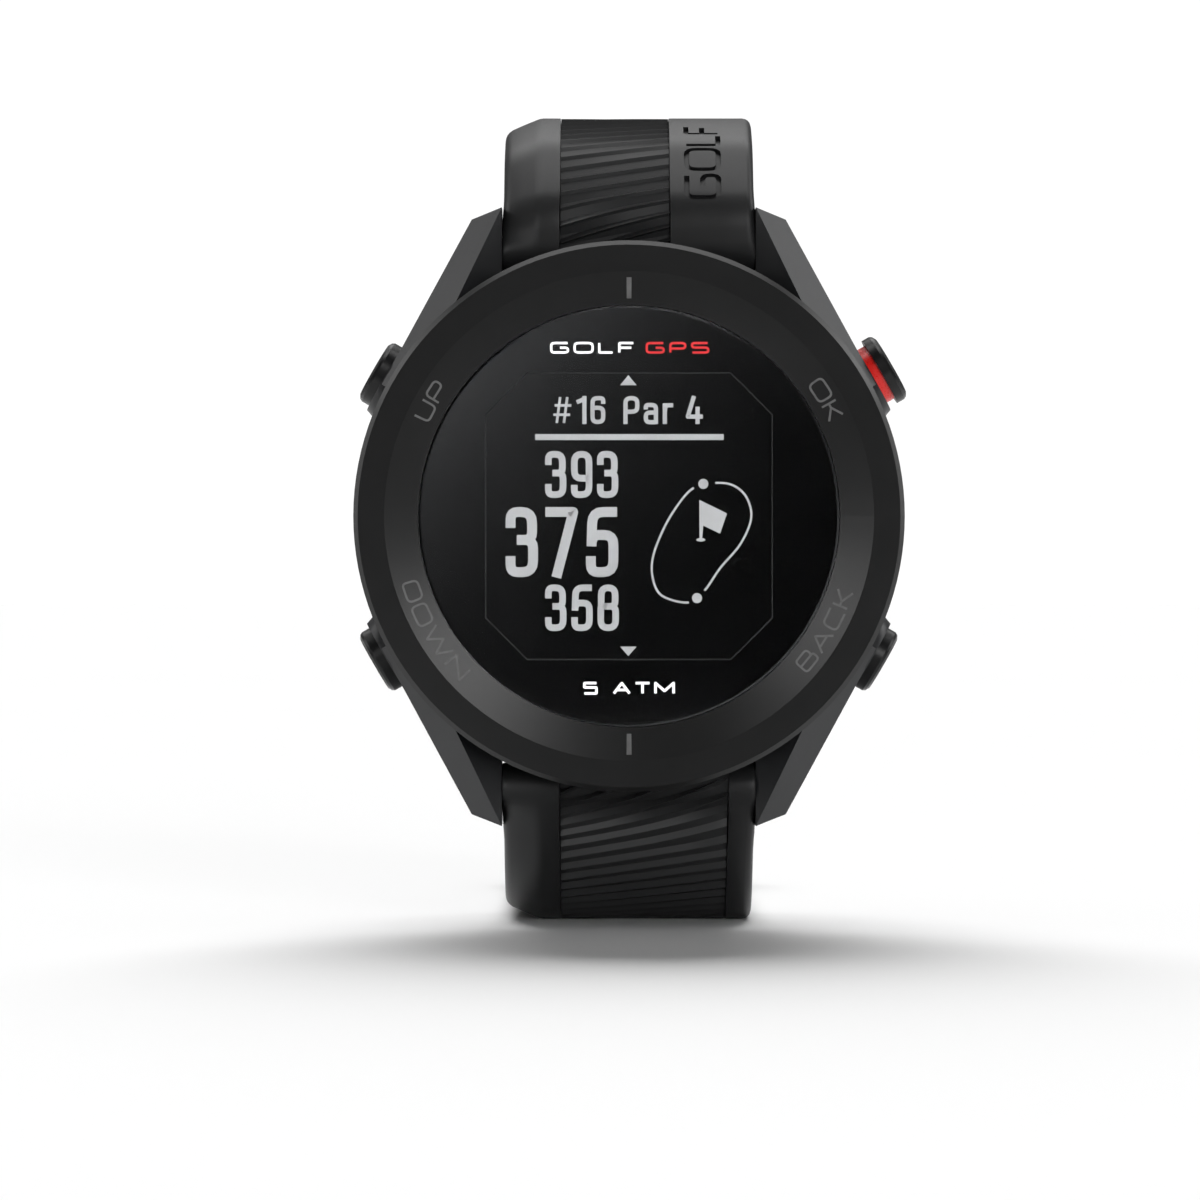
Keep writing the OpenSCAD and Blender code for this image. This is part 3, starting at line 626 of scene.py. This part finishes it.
def strokes(text, table, height, gap, foot=0.0):
    """The paths of stroke letters from u = 0 on, and the width of the whole line of text."""
    paths, u = [], 0.0
    for c in text:
        width, radius, lines = table[c]
        for line in lines:
            paths.append([(u + a * height, foot + b * height) for a, b in rounded(line, radius)])
        u += width * height + gap
    return paths, u - gap


def cone_depth(r):
    return CONE_DROP * (CONE_OUT - r) / (CONE_OUT - CONE_IN)


def on_cone(angle, tops_out):
    """Places (along, up, lift) on the bezel's inner cone, centred on an angle."""
    turn = -1 if tops_out else 1

    def place(u, v, w):
        r = MARK_R - turn * v
        a = math.radians(angle) + turn * u / MARK_R
        return r * math.cos(a), cone_depth(r) - w, r * math.sin(a)
    return place


def label(name, text, angle, tops_out):
    """A word round the bezel's cone, centred on an angle."""
    paths, width = strokes(text, CAPITALS, CAP_HEIGHT, LETTER_GAP, -CAP_HEIGHT / 2)
    place = on_cone(angle, tops_out)
    parts = [line_solid([(u - width / 2, v) for u, v in path], MARK_LINE, MARK_SINK, MARK_LIFT, place)
             for path in paths]
    return piece(name, *join_lists(parts), "case", "bezel_polymer", MARK_PAINTED_HIGHLIGHT)


def tick(name, angle):
    """An index line on the bezel's cone."""
    outline = [(-0.19, -0.9), (0.19, -0.9), (0.19, 0.75), (-0.19, 0.75)]
    solid = prism(outline, MARK_SINK, MARK_LIFT, on_cone(angle, True))
    return piece(name, *solid, "case", "bezel_polymer", MARK_PAINTED_HIGHLIGHT)


# ---------------------------------------------------------------- straps
def cutters_of(parts):
    """Loose meshes to carve with; carve() removes them again."""
    return [piece(f"cut_{i}", *part, None, material=MATERIALS["silicone"]) for i, part in enumerate(parts)]


def across(u, v, w):
    """Places an outline of (depth, up) that is extruded across the strap."""
    return w, u, v


def rod_cutter(centre, r, steps=24):
    """A round hole all the way across the strap."""
    return prism(arc(centre, r, 0, 360 * (steps - 1) / steps, steps - 1), -HOLE_HALF, HOLE_HALF, across)


def lever_cutter(strap):
    """The notch in the inner side of the knuckle, where a nail reaches the lever."""
    inward = -strap.outer(0)[1]
    along = np.array([-inward[1], inward[0]])
    corners = []
    for a, b in ((0.2, -1), (5.2, -1), (5.2, 1), (0.2, 1)):
        corners.append(tuple(strap.bar + a * inward + b * along))
    return prism(corners, -20, LEVER_X + LEVER_ROOM, across)


def slot_cutter(s):
    """An adjustment slot through the lower half at distance s."""
    half, r = (SLOT_W - SLOT_H) / 2, SLOT_H / 2
    outline = arc((half, 0), r, -90, 90, 10) + arc((-half, 0), r, 90, 270, 10)
    p, out = LOWER.outer(s)
    along = LOWER.side * np.array([out[1], -out[0]])

    def place(u, v, w):
        q = p + v * along + w * out
        return u, q[0], q[1]
    return prism(outline, -4.5, 1.5, place)


def build_upper_strap():
    """The short half, with the buckle's end and the debossed word."""
    obj = strap_body("upper_strap_band", UPPER, UPPER_PANEL_RIGHT, PANEL_START, UPPER_PANEL_END, "strap_12")
    point, out = UPPER.outer(UPPER.length)
    pin = point - THICKNESS / 2 * out
    notch = [(pin[0] + a, pin[1] + b) for a, b in ((-4, -4), (4, -4), (4, 4.2), (-4, 4.2))]
    parts = [rod_cutter(UPPER.bar, BAR_HOLE_R), lever_cutter(UPPER), rod_cutter(pin, PIN_HOLE_R),
             prism(notch, -TONGUE_NOTCH, TONGUE_NOTCH, across)]
    paths, width = strokes("GOLF", CAPITALS, WORD_HEIGHT, WORD_GAP)
    for path in paths:
        line = [(WORD_START + WORD_LENGTH / width * u, v) for u, v in path]
        parts.append(line_solid(line, WORD_LINE, -0.4, WORD_DEPTH,
                                lambda u, v, w: UPPER.place(u, WORD_FOOT - v, w)))
    carve(obj, cutters_of(parts))
    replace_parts(obj, "strap_upper")
    ribs("upper_strap_ribs", UPPER, UPPER_PANEL_RIGHT, PANEL_START, UPPER_PANEL_END, UPPER_SLOPE, "strap_12")


def build_lower_strap():
    """The long half, with its slots and its rounded tip."""
    obj = strap_body("lower_strap_band", LOWER, LOWER_PANEL_RIGHT, PANEL_START, LOWER_PANEL_END, "strap_6",
                     tip=True)
    parts = [rod_cutter(LOWER.bar, BAR_HOLE_R), lever_cutter(LOWER)]
    parts += [slot_cutter(FIRST_SLOT + SLOT_PITCH * i) for i in range(SLOT_COUNT)]
    carve(obj, cutters_of(parts))
    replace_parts(obj, "strap_lower")
    ribs("lower_strap_ribs", LOWER, LOWER_PANEL_RIGHT, PANEL_START, LOWER_PANEL_END, LOWER_SLOPE, "strap_6")


def keeper(name, node, body):
    """A rounded loop round the strap, from its CAD box."""
    low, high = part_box(node)
    low = [low.x / MM, (low.y - FRONT) / MM, (low.z - CENTRE_Z) / MM]
    high = [high.x / MM, (high.y - FRONT) / MM, (high.z - CENTRE_Z) / MM]
    wall, inner, edge, small = 1.2, 0.35, 0.42, 0.2    # wall, inside corner, outer edge and inner edge
    x0, x1, y0, y1 = low[0] + wall, high[0] - wall, low[1] + wall, high[1] - wall
    path = []
    for cx, cy, a in ((x1 - inner, y1 - inner, 0), (x0 + inner, y1 - inner, 90),
                      (x0 + inner, y0 + inner, 180), (x1 - inner, y0 + inner, 270)):
        for k in range(9):
            t = math.radians(a + 90 * k / 8)
            path.append((cx, cy, math.cos(t), math.sin(t)))
    half = (high[2] - low[2]) / 2
    section = [(0, -half + small), (0, half - small), (small, half)]
    turns = [math.radians(t) for t in range(0, 91, 18)]
    section += [(wall - edge + edge * math.sin(t), half - edge + edge * math.cos(t)) for t in turns]
    section += [(wall - edge + edge * math.cos(t), -half + edge - edge * math.sin(t)) for t in turns]
    section += [(small, -half)]
    mid = (low[2] + high[2]) / 2
    points = []
    for cx, cy, nx, ny in path:
        for depth, z in section:
            points.append((cx + nx * (inner + depth), cy + ny * (inner + depth), mid + z))
    faces = grid_faces(len(path), len(section), wrap_rows=True, wrap_cols=True)
    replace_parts(piece(name, points, faces, body, "silicone", sharp=50), node)


# ---------------------------------------------------------------- display
def on_panel(face):
    """Places (right, up, lift) on the display's plane at a depth."""
    return lambda u, v, w: (u, face - w, v)


def flat_shape(name, outline, face=WINDOW_FACE):
    """A filled shape on the screen."""
    return piece(name, *prism(outline, 0, INK_LIFT, on_panel(face)), "case", "display_glass", INK_GREY)


def figures(name, text, x0, x1, z0, z1, table=FIGURES, line=0.138, gap=0.11, material=INK_GREY,
            face=WINDOW_FACE, slot="display_glass"):
    """A line of stroke letters fitted into a box on the display."""
    paths, width = strokes(text, table, 1.0, gap)
    height = z1 - z0
    stretch = (x1 - x0) / width / height
    inset = 0 if table is FIGURES else line / 2
    parts = []
    for i, path in enumerate(paths):
        flat = [(x0 + (u * (1 - 2 * inset / width) + inset) * height * stretch,
                 z0 + (v * (1 - 2 * inset) + inset) * height) for u, v in path]
        lift = INK_LIFT + 0.0004 * i              # crossing strokes don't share a plane
        parts.append(line_solid(flat, line * height, 0, lift, on_panel(face)))
    return piece(name, *join_lists(parts), "case", slot, material)


def build_green():
    """The outline of the green, which leaves room round its two dots."""
    green = [(5.15, 2.25), (4.1, 1.2), (2.9, -0.7), (1.95, -3.05), (1.87, -4.8), (2.6, -6.3), (4.75, -6.85),
             (6.0, -5.9), (7.25, -4.1), (8.85, -2.2), (9.7, -0.15), (9.3, 1.55), (8.15, 2.5), (6.6, 2.62)]
    dots, dot_r, room, width = ((5.9, 2.57), (5.4, -6.5)), 0.4, 0.72, 0.17
    line = spline(green)
    clear = [min(math.dist(p, d) for d in dots) > room for p in line]
    first = next(i for i in range(len(line)) if clear[i] and not clear[i - 1])
    runs, run = [], []
    for i in range(len(line)):
        if clear[(first + i) % len(line)]:
            run.append(line[(first + i) % len(line)])
        elif run:
            runs.append(run)
            run = []
    runs += [run] if run else []
    parts = [line_solid(r, width, 0, INK_LIFT, on_panel(WINDOW_FACE)) for r in runs]
    piece("screen_green", *join_lists(parts), "case", "display_glass", INK_GREY)
    for i, dot in enumerate(dots):
        flat_shape(f"screen_dot_{i}", arc(dot, dot_r, 0, 345, 23))


def build_display():
    """What the screen shows, the window's edge and the print round it."""
    title = dict(z0=7.32, z1=9.54, gap=0.11, line=0.15)
    figures("screen_hash", "#", -6.0, -4.58, 7.4, 9.46, line=0.1)
    figures("screen_hole", "16", -4.15, -1.86, **title)
    figures("screen_par", "Par", -0.475, 3.5, **title)
    figures("screen_par_number", "4", 4.42, 5.86, **title)
    figures("screen_far", "393", -6.66, -0.85, 1.43, 5.2)
    figures("screen_middle", "375", -9.8, -0.84, -4.86, 0.76)
    figures("screen_near", "358", -6.66, -0.8, -9.13, -5.4)
    flat_shape("screen_bar", [(-7.45, 6.05), (7.52, 6.05), (7.52, 6.52), (-7.45, 6.52)])
    flat_shape("screen_arrow_up", [(-0.7, 10.4), (0.6, 10.4), (-0.05, 11.2)])
    flat_shape("screen_arrow_down", [(-0.7, -10.35), (-0.05, -11.1), (0.6, -10.35)])
    build_green()
    flag = [(5.58, 1.3), (7.78, 0.22), (7.23, -1.38), (5.9, -0.74), (5.8, -1.85), (5.6, -1.85)]
    flat_shape("screen_flag", flag, WINDOW_FACE - 0.004)
    flat_shape("screen_cup", [(5.7 + 0.36 * c, -1.87 + 0.14 * s) for c, s in arc((0, 0), 1, 0, 345, 23)])
    cut = 1 - WINDOW_CUT
    corners = ((1, cut), (cut, 1), (-cut, 1), (-1, cut), (-1, -cut), (-cut, -1), (cut, -1), (1, -cut))
    edge = line_solid([(WINDOW_HALF * a, WINDOW_HALF * b) for a, b in corners], 0.11, 0, INK_LIFT,
                      on_panel(MASK_FACE - 0.02), closed=True)
    piece("window_edge", *edge, "case", "black_film", WINDOW_LINE)
    printed = dict(table=CAPITALS, face=MASK_FACE, slot="black_film", line=PRINT_LINE, gap=PRINT_GAP)
    figures("print_golf", "GOLF", -6.28, 0.4, TITLE_LOW, TITLE_HIGH, material=INK_WHITE, **printed)
    figures("print_gps", "GPS", 1.3, 6.4, TITLE_LOW, TITLE_HIGH, material=INK_RED, **printed)
    figures("print_depth", "5 ATM", -3.64, 3.64, DEPTH_LOW, DEPTH_HIGH, material=INK_WHITE, **printed)


def build_marks():
    """The words and index lines on the bezel's cone."""
    label("label_up", "UP", 149.9, True)
    label("label_ok", "OK", 30.6, True)
    label("label_down", "DOWN", 210.4, False)
    label("label_back", "BACK", -30.2, False)
    tick("tick_12", 90)
    tick("tick_6", -90)


# ---------------------------------------------------------------- carried-over CAD nodes
def dress_cad():
    """Gives every CAD node its procedural finish, and softens the edges of the visible hard parts."""
    slots = {s["node"]: s["material_slot"] for s in frame["record"]["subparts"]}
    for name, obj in frame["nodes"].items():
        for place in obj.material_slots:
            place.material = MATERIALS[slots[name]]
    for name in ("housing", "buckle_frame", "buckle_tongue"):
        weld = frame["nodes"][name].modifiers.new("weld", "WELD")
        weld.merge_threshold = WELD_GAP * MM
        soft = frame["nodes"][name].modifiers.new("soft_edges", "BEVEL")
        soft.width, soft.segments, soft.harden_normals = SOFT_EDGE * MM, 2, True
        soft.limit_method, soft.angle_limit = "ANGLE", math.radians(SOFT_ANGLE)
    # the film lies a hair behind the glass, so that the two faces aren't in one plane
    gap = frame["nodes"]["display_mask"].modifiers.new("gap", "DISPLACE")
    gap.direction, gap.strength, gap.mid_level = "Y", 0.01 * MM, 0.0


# ---------------------------------------------------------------- studio
def area(name, place, target, size, watts):
    """A softbox at place, turned towards target."""
    lamp = bpy.data.lights.new(name, "AREA")
    lamp.shape, lamp.size, lamp.size_y = "RECTANGLE", *size
    lamp.energy = watts
    obj = bpy.data.objects.new(name, lamp)
    obj.location = place
    obj.rotation_euler = (Vector(target) - Vector(place)).to_track_quat("-Z", "Y").to_euler()
    scene.collection.objects.link(obj)
    return obj


def build_world():
    """A white backdrop for the camera, a dim world for matt surfaces, and a front-to-back ramp for gloss."""
    world = bpy.data.worlds.new("studio")
    scene.world = world
    world.use_nodes = True
    nodes, links = world.node_tree.nodes, world.node_tree.links
    nodes.clear()
    coords = nodes.new("ShaderNodeTexCoord")
    split = nodes.new("ShaderNodeSeparateXYZ")
    links.new(coords.outputs["Generated"], split.inputs[0])
    ramp = nodes.new("ShaderNodeValToRGB")
    reach = nodes.new("ShaderNodeMapRange")          # -1 is straight in front of the watch
    reach.inputs["From Min"].default_value = -1
    reach.inputs["From Max"].default_value = 1
    links.new(split.outputs["Y"], reach.inputs["Value"])
    links.new(reach.outputs["Result"], ramp.inputs["Fac"])
    stops = ramp.color_ramp.elements
    stops[0].position, stops[0].color = 0.0, (0.02, 0.02, 0.02, 1)
    stops[1].position, stops[1].color = 1.0, (0.22, 0.22, 0.22, 1)
    for position, value in ((0.12, 0.02), (0.3, 0.06), (0.5, 0.13)):
        stop = stops.new(position)
        stop.color = (value, value, value, 1)
    light = nodes.new("ShaderNodeBackground")
    links.new(ramp.outputs["Color"], light.inputs["Color"])
    light.inputs["Strength"].default_value = 1.0
    matt = nodes.new("ShaderNodeBackground")
    matt.inputs["Color"].default_value = (MATT_WORLD, MATT_WORLD, MATT_WORLD, 1)
    seen = nodes.new("ShaderNodeBackground")
    seen.inputs["Color"].default_value = (1, 1, 1, 1)
    seen.inputs["Strength"].default_value = SEEN_WORLD
    rays = nodes.new("ShaderNodeLightPath")
    out = nodes.new("ShaderNodeOutputWorld")
    shader = light
    for ray, other in (("Is Diffuse Ray", matt), ("Is Camera Ray", seen)):
        mix = nodes.new("ShaderNodeMixShader")
        links.new(rays.outputs[ray], mix.inputs["Fac"])
        links.new(shader.outputs[0], mix.inputs[1])
        links.new(other.outputs[0], mix.inputs[2])
        shader = mix
    links.new(shader.outputs[0], out.inputs["Surface"])


def sheet(name, corners):
    """A one-sided stage sheet through four corners, in metres."""
    mesh = bpy.data.meshes.new(name)
    mesh.from_pydata(corners, [], [(0, 1, 2, 3)])
    obj = bpy.data.objects.new(name, mesh)
    scene.collection.objects.link(obj)
    return obj


def build_floor():
    """A plain pale floor."""
    half = 40.0
    obj = sheet("floor", [(-half, -half, 0), (half, -half, 0), (half, half, 0), (-half, half, 0)])
    mat, nodes, links, shader = new_material("floor_look")
    shader.inputs["Base Color"].default_value = (0.92, 0.92, 0.92, 1)
    shader.inputs["Roughness"].default_value = 0.9
    shader.inputs["Specular IOR Level"].default_value = 0.0
    obj.data.materials.append(mat)


def build_gradient_card():
    """A small card behind the camera, whose soft gradient is what the flat glass mirrors."""
    half, distance = 75, 660
    obj = sheet("gradient_card", [at(AIM_X + a * half, -distance, AIM_Z + b * half)
                                  for a, b in ((-1, -1), (1, -1), (1, 1), (-1, 1))])
    mat = bpy.data.materials.new("gradient_card_look")
    mat.use_nodes = True
    nodes, links = mat.node_tree.nodes, mat.node_tree.links
    nodes.clear()
    coords = nodes.new("ShaderNodeTexCoord")
    split = nodes.new("ShaderNodeSeparateXYZ")
    links.new(coords.outputs["Generated"], split.inputs[0])
    blend = nodes.new("ShaderNodeMath")              # up minus right
    blend.operation = "MULTIPLY_ADD"
    blend.inputs[1].default_value = -1.0
    links.new(split.outputs["X"], blend.inputs[0])
    links.new(split.outputs["Z"], blend.inputs[2])
    ramp = nodes.new("ShaderNodeValToRGB")
    shift = nodes.new("ShaderNodeMath")
    shift.operation = "ADD"
    shift.inputs[1].default_value = 0.44
    links.new(blend.outputs[0], shift.inputs[0])
    links.new(shift.outputs[0], ramp.inputs["Fac"])
    stops = ramp.color_ramp.elements
    stops[0].position, stops[0].color = 0.28, (0.015, 0.015, 0.015, 1)
    stops[1].position, stops[1].color = 1.0, (1.1, 1.1, 1.12, 1)
    for position, value in ((0.42, 0.035), (0.58, 0.114), (0.72, 0.3), (0.81, 0.6)):
        stop = stops.new(position)
        stop.color = (value, value, value * 1.02, 1)
    glow = nodes.new("ShaderNodeEmission")
    links.new(ramp.outputs["Color"], glow.inputs["Color"])
    glow.inputs["Strength"].default_value = 1.0
    out = nodes.new("ShaderNodeOutputMaterial")
    links.new(glow.outputs[0], out.inputs["Surface"])
    obj.data.materials.append(mat)
    obj.visible_camera = obj.visible_shadow = False


def build_flag():
    """A dark flag over the floor in front, which keeps the floor out of front-facing gloss only."""
    near, far, half, height = FRONT - 0.1, -12.0, 12.0, 0.0005
    obj = sheet("front_flag", [(-half, far, height), (half, far, height), (half, near, height),
                               (-half, near, height)])
    obj.data.materials.append(surface("front_flag_look", (0.01, 0.01, 0.01), 0.9, specular=0.0))
    obj.visible_camera = obj.visible_shadow = obj.visible_diffuse = obj.visible_transmission = False


# suns light the matt surfaces and cast the shadow: (name, strength, spread, direction)
SUNS = (("back_light", 5.3, 36, (0.02, -0.853, -0.522)), ("overhead", 0.35, 90, (0.0, -0.1, -1)),
        ("front_fill", 1.3, 20, (-0.25, 1, -0.12)))
# softboxes only show in the gloss, in metres from the watch's centre: (name, place, size, watts)
BOXES = (("side_left", (-0.9, 0.1, 0.25), (0.5, 0.8), 2.0), ("side_right", (0.9, 0.1, 0.25), (0.5, 0.8), 2.4),
         ("top", (0, 0.05, 0.82), (0.9, 0.34), 3.8), ("top_back", (0, 0.58, 0.7), (0.9, 0.45), 3.0),
         ("lug_left", (-0.68, 0.22, 0.55), (0.35, 0.35), 0.6),
         ("lug_right", (0.68, 0.22, 0.55), (0.35, 0.35), 1.1))
# the same in front, tilted off the axis, for the bezel's cone: (name, clock angle, distance, side, watts)
KEYS = (("key_right", 42, 1.0, 0.32, 2.4), ("key_left", 152, 1.0, 0.3, 1.6),
        ("low_right", -28, 0.11, 0.034, 0.006), ("low_left", 228, 0.09, 0.026, 0.005))
KEY_TILT = 30


def build_studio():
    """Floor, cards and lights."""
    build_world()
    build_floor()
    build_flag()
    build_gradient_card()
    for name, energy, angle, direction in SUNS:
        sun = bpy.data.lights.new(name, "SUN")
        sun.energy, sun.angle = energy, math.radians(angle)
        obj = bpy.data.objects.new(name, sun)
        obj.rotation_euler = Vector(direction).to_track_quat("-Z", "Y").to_euler()
        obj.visible_glossy = False
        scene.collection.objects.link(obj)
    heart, tilt = at(0, 0, 0), math.radians(KEY_TILT)
    boxes = list(BOXES)
    for name, angle, far, size, watts in KEYS:
        a = math.radians(angle)
        place = (math.sin(tilt) * math.cos(a), -math.cos(tilt), math.sin(tilt) * math.sin(a))
        boxes.append((name, [far * c for c in place], (size, size), watts))
    for name, place, size, watts in boxes:
        box = area(name, heart + Vector(place), heart, size, watts)
        box.visible_diffuse = box.visible_camera = False


def build_camera():
    """A long lens straight in front, as in the photo."""
    cam = bpy.data.cameras.new("camera")
    cam.sensor_width, cam.lens = CAMERA_SENSOR, CAMERA_LENS
    obj = bpy.data.objects.new("camera", cam)
    obj.location = at(AIM_X, -CAMERA_BACK, AIM_Z)
    obj.rotation_euler = (math.pi / 2, 0, 0)
    scene.collection.objects.link(obj)
    scene.camera = obj


build_camera()
build_studio()
dress_cad()
build_upper_strap()
build_lower_strap()
keeper("fixed_keeper_loop", "keeper_fixed", "strap_12")
keeper("sliding_keeper_loop", "keeper_sliding", "loop")
build_display()
build_marks()
